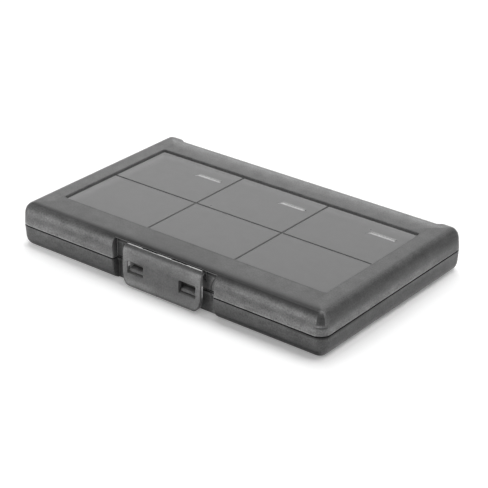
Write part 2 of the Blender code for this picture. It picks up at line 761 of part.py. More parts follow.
def tray_profile(floor, mouth):
    """The tray's outer face: rounded like the shell it lies in, bevelled at the top."""
    sense = 1 if mouth > floor else -1
    profile = cavity_profile(floor, mouth - sense * EDGE_ROUND, CAVITY_ROUND)
    profile = [(inset + TRAY_SIDE_GAP, height) for inset, height in profile]
    profile.append((TRAY_SIDE_GAP + EDGE_ROUND, mouth))
    return profile


def build_tray(name, floor, mouth, surface):
    """A card tray whose floor lies on its shell and whose pockets open at the mouth."""
    sense = 1 if mouth > floor else -1
    tray = loft_object(name, inner_marks(), tray_profile(floor, mouth), surface)
    across, along = tray_grid()
    sill = mouth - sense * POCKET_DEPTH
    beyond = mouth + sense * OVERSHOOT
    pockets = bmesh.new()
    for x in across:
        for y in along:
            half_x = POCKET_LENGTH / 2
            half_y = POCKET_WIDTH / 2
            corners = (x - half_x, x + half_x, y - half_y, y + half_y)
            plan = rounded_rectangle(*corners, POCKET_CORNER, POCKET_STEPS)
            add_prism(pockets, plan, "Z", min(sill, beyond), max(sill, beyond))
    cut(tray, new_object(name + "_pocket_cut", pockets))
    scoops = bmesh.new()
    scoop_low = along[0] - POCKET_WIDTH / 2 - SCOOP_END
    scoop_high = along[-1] + POCKET_WIDTH / 2 + SCOOP_END
    for x in across:
        centre = (x, mouth + sense * (SCOOP_RADIUS - SCOOP_DEPTH))
        add_prism(scoops, circle(centre, SCOOP_RADIUS, BARREL_STEPS), "Y", scoop_low, scoop_high)
    cut(tray, new_object(name + "_scoop_cut", scoops))
    nibs = bmesh.new()
    nib_height = mouth - sense * NIB_DROP
    for x in across:
        for y in along:
            for side in (-1, 1):
                centre = (x + side * POCKET_LENGTH / 2, nib_height)
                nib = circle(centre, NIB_RADIUS, NIB_STEPS)
                add_prism(nibs, nib, "Y", y - NIB_LENGTH / 2, y + NIB_LENGTH / 2)
    fuse(tray, new_object(name + "_nibs", nibs))
    return tray


def build_pin(name, centre, radius, span, surface):
    """A plain steel pin with slightly broken ends, lying along X."""
    low, high = span
    chamfer = radius / 4
    stations = (
        (low, radius - chamfer),
        (low + chamfer, radius),
        (high - chamfer, radius),
        (high, radius - chamfer),
    )
    mesh = bmesh.new()
    rings = []
    for x, size in stations:
        rings.append([Vector((x, y, z)) for y, z in circle(centre, size, PIN_STEPS)])
    add_loft(mesh, rings)
    return new_object(name, mesh, surface)


def make_axis(name, place, parent=None):
    """An empty on a joint's axis, for the pieces that turn about it."""
    empty = bpy.data.objects.new(name, None)
    empty.empty_display_size = CORNER_RADIUS
    bpy.context.scene.collection.objects.link(empty)
    empty.parent = parent
    empty.location = place - (parent.location if parent else Vector())
    return empty


def hang(item, axis, place):
    """Move a piece's origin onto its joint's axis and parent it there."""
    item.data.transform(Matrix.Translation(-place))
    item.parent = axis
    item.location = Vector()


def build_case():
    base_plastic = make_material("base_plastic", (0.085, 0.085, 0.086), 0.42)
    lid_plastic = make_material("lid_plastic", (0.170, 0.170, 0.172), 0.36)
    latch_plastic = make_material("latch_plastic", (0.150, 0.150, 0.152), 0.34)
    tray_rubber = make_material("tray_rubber", (0.045, 0.045, 0.047), 0.62)
    steel = make_material("pin_steel", (0.560, 0.560, 0.570), 0.28, 1.0)

    lid_place = Vector((0, HINGE_Y, HINGE_Z))
    latch_place = Vector((0, PIVOT_Y, PIVOT_Z))
    lid_axis = make_axis("lid_axis", lid_place)
    latch_axis = make_axis("latch_axis", latch_place, lid_axis)

    base_shell = build_base_shell(base_plastic)
    base_tray = build_tray("base_tray", BASE_TRAY_BOTTOM, BASE_TRAY_TOP, tray_rubber)
    lid_shell = build_lid_shell(lid_plastic)
    lid_tray = build_tray("lid_tray", LID_TRAY_TOP, LID_TRAY_BOTTOM, tray_rubber)
    latch = build_latch(latch_plastic)
    pin_centre = (HINGE_Y, HINGE_Z)
    left_span, right_span = hinge_spans("pin")
    left_pin = build_pin("hinge_pin_left", pin_centre, HINGE_PIN_RADIUS, left_span, steel)
    right_pin = build_pin("hinge_pin_right", pin_centre, HINGE_PIN_RADIUS, right_span, steel)
    latch_span = (-KNUCKLE_SPAN / 2, KNUCKLE_SPAN / 2)
    latch_pin = build_pin("latch_pin", (PIVOT_Y, PIVOT_Z), LATCH_PIN_RADIUS, latch_span, steel)

    for item in (lid_shell, lid_tray, latch_pin):
        hang(item, lid_axis, lid_place)
    hang(latch, latch_axis, latch_place)
    for item in (base_shell, base_tray, lid_shell, lid_tray, latch, left_pin, right_pin, latch_pin):
        shade(item)


clear_scene()
build_case()
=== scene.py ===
"""Looks for the game card case: moulded smoke-grey plastic, a pale floor and
soft studio light. Everything is in metres, in the frame of the CAD: X runs
along the case's length, Y through its depth to the hinge, and Z up.

A tone is the share of light that a surface scatters. Most tones here are
painted light and shade: they lay the case's shading, shadows, highlights
and glints into its colour. The smoke plastic also lets a little light
through, and some tones stand partly for that.

A region says where a tone holds. It is a list of smooth steps, and is their
product. A step is the name of a coordinate, with its value where the step
starts and its value where it is full. across, along and height are the place
along X, Y and Z, and off_centre is the distance from X = 0. inset is the
distance in from the piece's outline. side, rear and up are the X, Y and Z of
the way that a surface faces, and sideways is side without its sign. A gain is
what a tone is multiplied by in its region."""

import json
import math

import bpy
from mathutils import Matrix, Vector


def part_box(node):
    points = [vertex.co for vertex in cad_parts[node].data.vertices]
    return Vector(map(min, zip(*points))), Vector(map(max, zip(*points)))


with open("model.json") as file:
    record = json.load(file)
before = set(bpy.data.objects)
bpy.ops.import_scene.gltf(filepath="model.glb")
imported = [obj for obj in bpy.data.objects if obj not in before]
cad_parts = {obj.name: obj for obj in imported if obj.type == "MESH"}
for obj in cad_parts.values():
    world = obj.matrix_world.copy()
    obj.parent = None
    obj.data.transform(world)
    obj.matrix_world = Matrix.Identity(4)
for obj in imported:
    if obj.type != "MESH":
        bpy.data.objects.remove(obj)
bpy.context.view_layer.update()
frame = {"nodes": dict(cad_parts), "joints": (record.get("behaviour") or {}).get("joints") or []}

# Sizes that the frame gives. The lid's hinge is level with the parting line.
lid_low, lid_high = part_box("lid_shell")
latch_low, latch_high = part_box("latch")
joint_places = {joint["name"]: joint["pos_m"] for joint in frame["joints"]}
HALF_LENGTH = lid_high.x
HALF_DEPTH = -lid_low.y
PARTING = joint_places["lid_hinge"][2]
LATCH_HALF = latch_high.x
LATCH_FOOT = latch_low.z

# The case's other sizes that the finish follows
CORNER_RADIUS = 0.0044
LATCH_FOOT_RADIUS = 0.0045
NOTCH_HALF = 0.0250
PANEL_TOP = 0.0170
PANEL_LEFT = -0.0648
PANEL_REAR = 0.03015
TILE_LENGTH = 0.0432

# Camera, fitted to the photograph
CAMERA_AZIMUTH = math.radians(38.6345)
CAMERA_ELEVATION = math.radians(26.7136)
CAMERA_DISTANCE = 0.65523
CAMERA_AIM = Vector((0.0, -0.0003, 0.0170))
CAMERA_SLIDE = (0.002284, -0.010362)
CAMERA_LENS = 123.116
CAMERA_SENSOR = 36.0
CAMERA_CLIP = (0.01, 20.0)

# Studio
FLOOR_REACH = 3.0
FLOOR_COLOUR = (0.95, 0.95, 0.95)
FLOOR_ROUGHNESS = 0.9
FLOOR_SPECULAR = 0.1
# Painted light on the paper: a glow laid round the case's outline thins its
# shadow. Distance out from the case, and the share there of the glow under its
# rounded lower edge
UNDER_SHARES = (
    (-0.0046, 0.0),
    (-0.0036, 1.0),
    (-0.0014, 0.95),
    (-0.0006, 0.60),
    (0.0002, 0.20),
    (0.0008, 0.0),
)
# The same for the glow beside the case
BESIDE_SHARES = (
    (-0.0010, 0.0),
    (0.0004, 0.85),
    (0.0020, 0.95),
    (0.0040, 0.65),
    (0.0060, 0.28),
    (0.0085, 0.0),
)
# Distance towards the front right corner and glow
UNDER_GLOWS = (
    (-0.040, 0.20),
    (-0.005, 0.33),
    (0.012, 0.27),
    (0.024, 0.16),
    (0.048, 0.16),
    (0.055, 0.19),
    (0.070, 0.18),
    (0.078, 0.20),
)
BESIDE_GLOWS = (
    (-0.040, 0.08),
    (-0.008, 0.30),
    (0.000, 0.27),
    (0.009, 0.20),
    (0.019, 0.12),
    (0.035, 0.06),
    (0.050, 0.02),
    (0.065, 0.01),
    (0.078, 0.04),
)
# Painted light on the paper just in front of the latch's foot: place along Y
# and glow
BY_LATCH_FOOT = [("off_centre", LATCH_HALF, LATCH_HALF - 0.0010)]
LATCH_GLOWS = (
    (-0.0482, 0.0),
    (-0.0472, 0.05),
    (-0.0465, 0.12),
    (-0.0460, 0.11),
    (-0.0450, 0.0),
)
# Where the lamps' light falls off, and the glow that makes up for it
FAR_START = 0.36
FAR_END = 1.20
FAR_GLOW = 0.47
# Sine of the elevation, and the light that comes from there
SKY = ((0.0, 0.95), (0.12, 0.90), (0.42, 0.45), (0.80, 0.40), (1.0, 0.60))
# Name, place, width and height, watts
LAMPS = (
    ("overhead", (0.04, 0.17, 0.93), (0.95, 0.50), 7.4),
    ("rear_left", (-0.61, 0.77, 0.49), (0.70, 0.45), 1.3),
    ("front_left", (-0.55, -0.78, 0.16), (0.80, 0.25), 1.0),
)

# Plastic. A noise has a scale, detail and roughness, and a swing is how far it
# moves a value up and down.
SHARP_ANGLE = math.radians(32.0)
SPECULAR = 0.40
CLOUD_NOISE = (380.0, 3.0, 0.55)
CLOUD_STRETCH = (0.5, 0.5, 1.0)
CLOUD_SWING = 1.0
FLECK_NOISE = (1700.0, 2.0, 0.6)
FLECK_SWING = 1.4
GLOSS_NOISE = (240.0, 2.0, 0.5)
GLOSS_SWING = 0.05
GRAIN_NOISE = (2600.0, 2.0, 0.5)
GRAIN_DEPTH = 0.00006
EDGE_RADIUS = 0.0003
EDGE_SAMPLES = 8
# Agreement of a face with its rounded edge, where the edge's tone starts and
# where it is full. That tone paints highlights along the edges, and shade on
# the base's top edge.
EDGE_TURN = (0.99, 0.80)
EDGE_HIGHLIGHT_SHARE = 0.8

# Steel wire
WIRE_NOISE = (3000.0, 2.0, 0.5)
WIRE_STRETCH = (0.02, 1.0, 1.0)
WIRE_TONES = (0.50, 0.62)
WIRE_ROUGHNESS = (0.22, 0.36)
WIRE_GRAIN = 0.15
WIRE_DEPTH = 0.00002

# Shared by the base and the lid
# Painted shade, near black, for the gap between the shells and under the lid's lip
GAP_SHADE_TONE = 0.004
FACING_END = [("sideways", 0.35, 0.90)]
# Half the width over which the front's tones give way to the end's at a corner
OUTLINE_MITRE = 0.0008

# Lid's walls: height and tone. They paint the walls' light and shade: a
# painted highlight along the lower lip, and painted shade higher up, most on
# the ends
LID_FRONT_TONES = (
    (0.00930, 0.090),
    (0.00965, 0.255),
    (0.01000, 0.165),
    (0.01150, 0.148),
    (0.01280, 0.114),
    (0.01370, 0.110),
    (0.01490, 0.150),
    (0.01600, 0.143),
)
LID_END_TONES = (
    (0.00930, 0.040),
    (0.00965, 0.190),
    (0.01010, 0.138),
    (0.01150, 0.135),
    (0.01290, 0.072),
    (0.01400, 0.046),
    (0.01600, 0.042),
)
# Gains that paint the front paler near its ends, and the ends darker near the hinge
NEAR_END = [("off_centre", 0.048, 0.062)]
NEAR_END_GAIN = 1.15
NEAR_HINGE = [("along", 0.021, 0.036)]
NEAR_HINGE_GAIN = 0.64

# Lid's top: distance in from the outline and tone. They paint the shoulder's
# light and shade, with a dark band of shade where the front turns over
TOP_FRONT_TONES = (
    (0.0008, 0.135),
    (0.0016, 0.060),
    (0.0024, 0.018),
    (0.0034, 0.006),
    (0.0045, 0.010),
    (0.0060, 0.046),
    (0.0075, 0.058),
    (0.0140, 0.062),
    (0.0152, 0.038),
)
TOP_END_TONES = (
    (0.0008, 0.042),
    (0.0016, 0.046),
    (0.0030, 0.075),
    (0.0045, 0.057),
    (0.0070, 0.066),
    (0.0090, 0.066),
    (0.0100, 0.052),
)
# The same on the left of the front, painted paler there
TOP_LEFT_TONES = (
    (0.0008, 0.150),
    (0.0015, 0.100),
    (0.0020, 0.070),
    (0.0025, 0.062),
    (0.0030, 0.046),
    (0.0035, 0.026),
    (0.0040, 0.016),
    (0.0045, 0.018),
    (0.0050, 0.035),
    (0.0055, 0.050),
    (0.0140, 0.056),
    (0.0152, 0.038),
)
# Place along Y and tone: a painted highlight that grows towards the rear edge
TOP_REAR_TONES = (
    (0.0300, 0.060),
    (0.0340, 0.070),
    (0.0365, 0.096),
    (0.0380, 0.122),
    (0.0400, 0.175),
    (0.0412, 0.120),
)
SHOULDER = [("height", 0.0152, 0.0166)]
TOP_LEFT = [("across", -0.012, -0.056)]
TOP_REAR = [("along", 0.024, 0.031)]
# Painted shade on the rim behind the latch, and the ends' rim painted paler on the left
TOP_BY_LATCH = [("off_centre", 0.026, 0.012)]
TOP_BY_LATCH_GAIN = 0.74
TOP_LEFTWARD = [("across", 0.020, -0.020)]
TOP_LEFTWARD_GAIN = 1.18

# Lid's upright corners, where shade and a highlight are painted. diagonal is
# greatest on a surface that faces halfway between the front and the side.
# outward is how upright a surface is, and turn goes from 0 where it faces the
# front to 1 where it faces the side.
SOFT_CORNER = [("diagonal", 0.10, 0.45), ("height", 0.0116, 0.0150)]
SOFT_CORNER_SHADE = 0.016
FRONT_RIGHT = [("across", 0.02, 0.04), ("along", -0.01, -0.02)]
STEEP_CORNER = [("outward", 0.25, 0.60), ("across", 0.0690, 0.0700)]
LINED_CORNER = [("turn", 0.04, 0.24), ("turn", 1.00, 0.94)]
# Height on the front right corner and share of the tone there: painted shade
# on the lower lip, and thin darker and lighter lines
CORNER_SHARES = (
    (0.00965, 0.35),
    (0.01000, 0.88),
    (0.01200, 0.88),
    (0.01235, 0.70),
    (0.01260, 0.28),
    (0.01290, 0.85),
    (0.01310, 1.20),
    (0.01345, 1.20),
    (0.01375, 1.00),
)
# On the front right corner: a painted dark spot of shade, and a painted highlight
DARK_CORNER = [("turn", 0.08, 0.46), ("turn", 0.94, 0.80), ("height", 0.0133, 0.0141)]
CORNER_SHADE_TONE = 0.035
CORNER_GLEAM = [("turn", 0.80, 0.92), ("along", -0.0405, -0.0436), ("height", 0.0122, 0.0140)]
CORNER_GLEAM_TONE = 0.100

# Lid's sunk panel. Distance from its rear or left wall and tone: painted light
# that offsets the shade by those walls
PANEL_TONES = (
    (0.0002, 0.300),
    (0.0008, 0.260),
    (0.0018, 0.185),
    (0.0030, 0.120),
    (0.0042, 0.097),
    (0.0060, 0.085),
)
INBOARD = [("inset", 0.0098, 0.0100)]
SUNK = [("height", PANEL_TOP + 0.0004, PANEL_TOP + 0.0001)]
LEVEL = [("up", 0.7, 0.95)]
# Painted light on the recess's walls and in the grooves, which lifts the shade there
RECESS_WALL = [("height", PANEL_TOP - 0.0001, PANEL_TOP)]
RECESS_WALL_TONE = 0.095
GROOVES = [
    ("height", PANEL_TOP - 0.00002, PANEL_TOP - 0.00006),
    ("height", PANEL_TOP - 0.0011, PANEL_TOP - 0.0010),
]
GROOVE_TONE = 0.160
# The three finger marks, painted as bright highlights with a paler border.
# tile is the share of a tile's length from its left end
BAR_LENGTH = [("tile", 0.555, 0.575), ("tile", 0.884, 0.866)]
BAR_DEPTH = [("along", 0.0184, 0.0188), ("along", 0.0226, 0.0224)]
BAR_SLOPE_HIGHLIGHT = 0.48
BAR_WALL_HIGHLIGHT = 0.80
BAR_BORDER = [
    ("along", 0.0200, 0.0206),
    ("along", 0.0227, 0.0221),
    ("tile", 0.600, 0.625),
    ("tile", 0.884, 0.862),
]
BAR_BORDER_HIGHLIGHT = 0.22

# Painted shade on the rim over the gap, and the lid's finish
GAP_ABOVE = [("height", PARTING + 0.0001, PARTING), ("up", -0.5, -0.9)]
LID_ROUGHNESS = 0.40
PANEL_ROUGHNESS = 0.30
LID_GRAIN = 0.20
WALL_SPECKLE = 0.53
TOP_SPECKLE = 0.50
PANEL_SPECKLE = 0.06
# Painted highlight on edges, laid only in and by the latch's notch
LID_EDGE_HIGHLIGHT = 0.30

# The latch's notch, in both shells
NOTCH_MOUTH = [
    ("off_centre", NOTCH_HALF + 0.0012, NOTCH_HALF + 0.0006),
    ("along", -0.0420, -0.0424),
]
NOTCH_INSIDE = [
    ("off_centre", NOTCH_HALF + 0.0002, NOTCH_HALF - 0.0001),
    ("along", -0.0462, -0.0456),
    ("height", 0.0158, 0.0156),
]
# Its back: place along X and tone, which paint the back's light and shade
NOTCH_BACK_TONES = (
    (-0.0250, 0.050),
    (-0.0228, 0.055),
    (-0.0212, 0.120),
    (-0.0194, 0.160),
    (0.0194, 0.050),
    (0.0212, 0.060),
    (0.0230, 0.120),
    (0.0244, 0.160),
    (0.0247, 0.020),
)
ABOVE_PARTING = [("height", PARTING - 0.0001, PARTING + 0.0001)]
# The back's right part is painted paler below the parting line
NOTCH_RIGHT = [("across", 0.0, 0.0190)]
NOTCH_RIGHT_GAIN = 1.4
# A thin line of painted shade by its right mouth, standing for the shading
# of a rounded edge: height and place along X
MOUTH_LINE = (
    (0.0093, 0.0216),
    (0.0115, 0.0217),
    (0.0125, 0.0220),
    (0.0135, 0.0224),
    (0.0142, 0.0228),
    (0.0150, 0.0233),
    (0.0158, 0.0238),
)
# Distance to the right of that line and share of the tone there
MOUTH_SHARES = (
    (-0.0016, 1.0),
    (-0.0010, 1.3),
    (-0.0004, 1.5),
    (-0.0001, 0.40),
    (0.0002, 0.40),
    (0.0005, 1.2),
    (0.0010, 1.2),
    (0.0018, 1.1),
)
MOUTH_LINED = [("height", 0.0045, 0.0065)]
# Painted shade on the back behind the latch, above the parting line
BEHIND_LATCH = [
    ("across", -LATCH_HALF - 0.0029, -LATCH_HALF - 0.0025),
    ("across", LATCH_HALF - 0.0020, LATCH_HALF - 0.0028),
]
BEHIND_LATCH_SHADE = 0.012
# Painted light in the pockets beside the latch, against the shade there
POCKETS = [("along", -0.0430, -0.0428), ("off_centre", 0.0170, 0.0176)]
POCKET_LIGHT = 0.16
# off_parting is the distance from the parting line, along which a line of
# shade is painted
PARTING_LINE = [("off_parting", 0.0008, 0.0005)]
# Place along Y and tone, on the hooks and on the notch's sides: painted light
# towards the front and painted shade deeper in
HOOK_TONES = ((-0.0448, 0.190), (-0.0434, 0.030))
NOTCH_SIDE_TONES = ((-0.0460, 0.150), (-0.0452, 0.085), (-0.0440, 0.055))
HOOKS = [("along", -0.04325, -0.0434), ("off_centre", 0.0185, 0.0183)]
NOTCH_SIDES = [("sideways", 0.4, 0.7), ("off_centre", 0.0186, 0.0190)]

# Latch: height and tone, which paint its light and shade
LATCH_TONES = (
    (0.0010, 0.070),
    (0.0015, 0.080),
    (0.0020, 0.122),
    (0.0026, 0.138),
    (0.0055, 0.094),
    (0.0110, 0.092),
    (0.0145, 0.142),
    (0.0160, 0.150),
    (0.0166, 0.085),
    (0.0172, 0.065),
)
# The same by its sides
LATCH_BORDER_TONES = (
    (0.0010, 0.080),
    (0.0015, 0.095),
    (0.0020, 0.145),
    (0.0026, 0.160),
    (0.0055, 0.120),
    (0.0110, 0.165),
    (0.0145, 0.198),
    (0.0160, 0.215),
    (0.0166, 0.080),
    (0.0172, 0.050),
)
LATCH_BORDER = [("off_centre", 0.0110, 0.0185)]
# The left of the foot is painted paler
LATCH_LEFT_FOOT = [("across", 0.004, -0.012), ("height", 0.0052, 0.0032)]
LATCH_LEFT_FOOT_GAIN = 1.4
# A painted highlight along the tip
LATCH_TIP = [("height", 0.01738, 0.01744), ("up", 0.85, 0.98)]
LATCH_TIP_HIGHLIGHT = 0.36
# Painted light on the windows' sills
LATCH_SILL = [("up", 0.6, 0.8), ("height", 0.0058, 0.0060), ("height", 0.0070, 0.0068)]
LATCH_SILL_LIGHT = 0.26
# Painted glints, on faces that look to the right
FACING_RIGHT = [("side", 0.5, 0.7)]
RIGHT_EDGE = [
    ("across", 0.0180, 0.0185),
    ("along", -0.0458, -0.0456),
    ("height", 0.0062, 0.0076),
    ("height", 0.0122, 0.0110),
]
WINDOW_EDGE = [
    ("across", -0.0160, -0.0165),
    ("along", -0.0464, -0.0460),
    ("height", 0.0084, 0.0088),
]
GLINT_TONE = 0.85
LATCH_OUTLINE = [
    ("inset", 0.0007, 0.0003),
    ("height", 0.0058, 0.0046),
    ("along", -0.0464, -0.0466),
]
LATCH_OUTLINE_TONE = 0.045
# Painted highlights along edges run between the foot and the tip, but not
# round the windows
BELOW_TIP = [("height", 0.0160, 0.0156)]
ABOVE_FOOT = [("height", 0.0046, 0.0056)]
BY_WINDOW = [
    ("off_centre", 0.0078, 0.0080),
    ("off_centre", 0.0180, 0.0178),
    ("height", 0.0058, 0.0060),
    ("height", 0.0122, 0.0120),
]
LATCH_EDGE_HIGHLIGHT = 0.26
LATCH_EDGE_HIGHLIGHT_SHARE = 0.6
LATCH_ROUGHNESS = 0.34
LATCH_GRAIN = 0.18
LATCH_SPECKLE = 0.42

# Base's walls: height and tone, which paint their light and shade
BASE_FRONT_TONES = (
    (0.0005, 0.013),
    (0.0020, 0.017),
    (0.0040, 0.051),
    (0.0065, 0.064),
    (0.0086, 0.084),
)
BASE_END_TONES = (
    (0.0005, 0.090),
    (0.0020, 0.098),
    (0.0040, 0.058),
    (0.0065, 0.053),
    (0.0086, 0.078),
)
# The front painted paler towards the left end, and darker low on the right
BASE_LEFT = [("across", -0.040, -0.062)]
BASE_LEFT_GAIN = 1.15
BASE_LOW_RIGHT = [("across", 0.015, 0.040), ("height", 0.0040, 0.0024)]
BASE_LOW_RIGHT_GAIN = 0.3
# Shade under the lid's lip, near the front right corner and along the end
FRONT_SHADE_RIGHT = [("across", 0.054, 0.066)]
FRONT_SHADE_SHARE = 0.70
FRONT_SHADE_TOP = [("height", 0.0079, 0.0086)]
END_SHADE = [("along", 0.015, -0.040), ("height", 0.0074, 0.0088)]
# Painted shade on the rim under the gap and on the base's top edge, painted
# highlights on its other edges, and the base's finish
GAP_BELOW = [("height", PARTING - 0.0005, PARTING - 0.0004), ("up", 0.5, 0.9)]
BASE_TOP_EDGE = [("height", 0.0085, 0.0088)]
BASE_EDGE_HIGHLIGHT = 0.09
NOTCH_EDGE_HIGHLIGHT = 0.22
BASE_PAINTED_EDGE_SHARE = 0.7
BASE_ROUGHNESS = 0.42
BASE_GRAIN = 0.25
BASE_SPECKLE = 0.58

# Trays
TRAY_TONE = 0.042
# Painted highlight along the trays' edges
TRAY_EDGE_HIGHLIGHT = 0.07
TRAY_ROUGHNESS = 0.60
TRAY_GRAIN = 0.45
TRAY_SPECKLE = 0.25


def aim(place, target):
    """A rotation that points an object's -Z from place to target."""
    return (Vector(target) - Vector(place)).to_track_quat("-Z", "Y").to_euler()


def add_camera():
    azimuth = CAMERA_AZIMUTH
    elevation = CAMERA_ELEVATION
    right = Vector((math.cos(azimuth), math.sin(azimuth), 0.0))
    back = Vector(
        (
            math.sin(azimuth) * math.cos(elevation),
            -math.cos(azimuth) * math.cos(elevation),
            math.sin(elevation),
        )
    )
    up = back.cross(right)
    data = bpy.data.cameras.new("camera")
    data.sensor_width = CAMERA_SENSOR
    data.lens = CAMERA_LENS
    data.clip_start, data.clip_end = CAMERA_CLIP
    camera = bpy.data.objects.new("camera", data)
    bpy.context.scene.collection.objects.link(camera)
    place = Matrix((right, up, back)).transposed().to_4x4()
    slide = CAMERA_SLIDE
    place.translation = CAMERA_AIM + slide[0] * right + slide[1] * up + CAMERA_DISTANCE * back
    camera.matrix_world = place
    bpy.context.scene.camera = camera


def add_area(name, place, target, size, power):
    data = bpy.data.lights.new(name, "AREA")
    data.shape = "RECTANGLE"
    data.size = size[0]
    data.size_y = size[1]
    data.energy = power
    lamp = bpy.data.objects.new(name, data)
    lamp.location = place
    lamp.rotation_euler = aim(place, target)
    bpy.context.scene.collection.objects.link(lamp)


def fill_ramp(ramp, stops):
    """Give a colour ramp its stops, each a position from 0 to 1 and a grey.
    New stops are made halfway and then moved."""
    elements = ramp.color_ramp.elements
    while len(elements) < len(stops):
        elements.new(0.5)
    for element, (position, grey) in zip(elements, stops):
        element.position = position
        element.color = (grey, grey, grey, 1.0)


def add_sky():
    """A white studio: bright at the horizon, where the paper sweeps up, dimmer
    above it and brighter again overhead."""
    world = bpy.data.worlds.new("studio")
    world.use_nodes = True
    tree = world.node_tree
    background = tree.nodes["Background"]
    direction = tree.nodes.new("ShaderNodeTexCoord")
    split = tree.nodes.new("ShaderNodeSeparateXYZ")
    tree.links.new(direction.outputs["Generated"], split.inputs["Vector"])
    ramp = tree.nodes.new("ShaderNodeValToRGB")
    ramp.color_ramp.interpolation = "EASE"
    fill_ramp(ramp, SKY)
    tree.links.new(split.outputs["Z"], ramp.inputs["Fac"])
    tree.links.new(ramp.outputs["Color"], background.inputs["Color"])
    bpy.context.scene.world = world


def add_floor():
    reach = FLOOR_REACH
    data = bpy.data.meshes.new("floor")
    corners = [(-reach, -reach, 0), (reach, -reach, 0), (reach, reach, 0), (-reach, reach, 0)]
    data.from_pydata(corners, [], [(0, 1, 2, 3)])
    floor = bpy.data.objects.new("floor", data)
    bpy.context.scene.collection.objects.link(floor)
    data.materials.append(floor_paper())


def floor_paper():
    """White paper with painted light: a glow laid round the case's outline thins
    the shadow along its lower edge, and a glow far out keeps the far floor as
    pale as the near one."""
    graph = Graph("floor_paper")
    across = graph.at["across"]
    along = graph.at["along"]
    inset, _ = case_inset(graph)
    outside = graph.maths("MULTIPLY", inset, -1.0)
    to_corner = graph.maths(
        "SUBTRACT",
        graph.maths("MULTIPLY", across, math.sin(CAMERA_AZIMUTH)),
        graph.maths("MULTIPLY", along, math.cos(CAMERA_AZIMUTH)),
    )
    under = graph.ramp(outside, UNDER_SHARES)
    under = graph.product(under, graph.ramp(to_corner, UNDER_GLOWS))
    beside = graph.ramp(outside, BESIDE_SHARES)
    beside = graph.product(beside, graph.ramp(to_corner, BESIDE_GLOWS))
    far = graph.step(graph.length(across, along), FAR_START, FAR_END)
    by_latch = graph.within(BY_LATCH_FOOT, graph.ramp(along, LATCH_GLOWS))
    glow = graph.maths("ADD", graph.maths("ADD", under, beside), graph.scaled(far, 0.0, FAR_GLOW))
    glow = graph.maths("ADD", glow, by_latch)
    graph.shader.inputs["Base Color"].default_value = (*FLOOR_COLOUR, 1.0)
    graph.shader.inputs["Roughness"].default_value = FLOOR_ROUGHNESS
    graph.shader.inputs["Specular IOR Level"].default_value = FLOOR_SPECULAR
    graph.shader.inputs["Emission Color"].default_value = (1.0, 1.0, 1.0, 1.0)
    graph.link(glow, graph.shader.inputs["Emission Strength"])
    return graph.material


def add_studio():
    bpy.context.scene.view_settings.view_transform = "Standard"
    add_sky()
    add_floor()
    for name, place, size, power in LAMPS:
        add_area(name, place, (0, 0, 0), size, power)


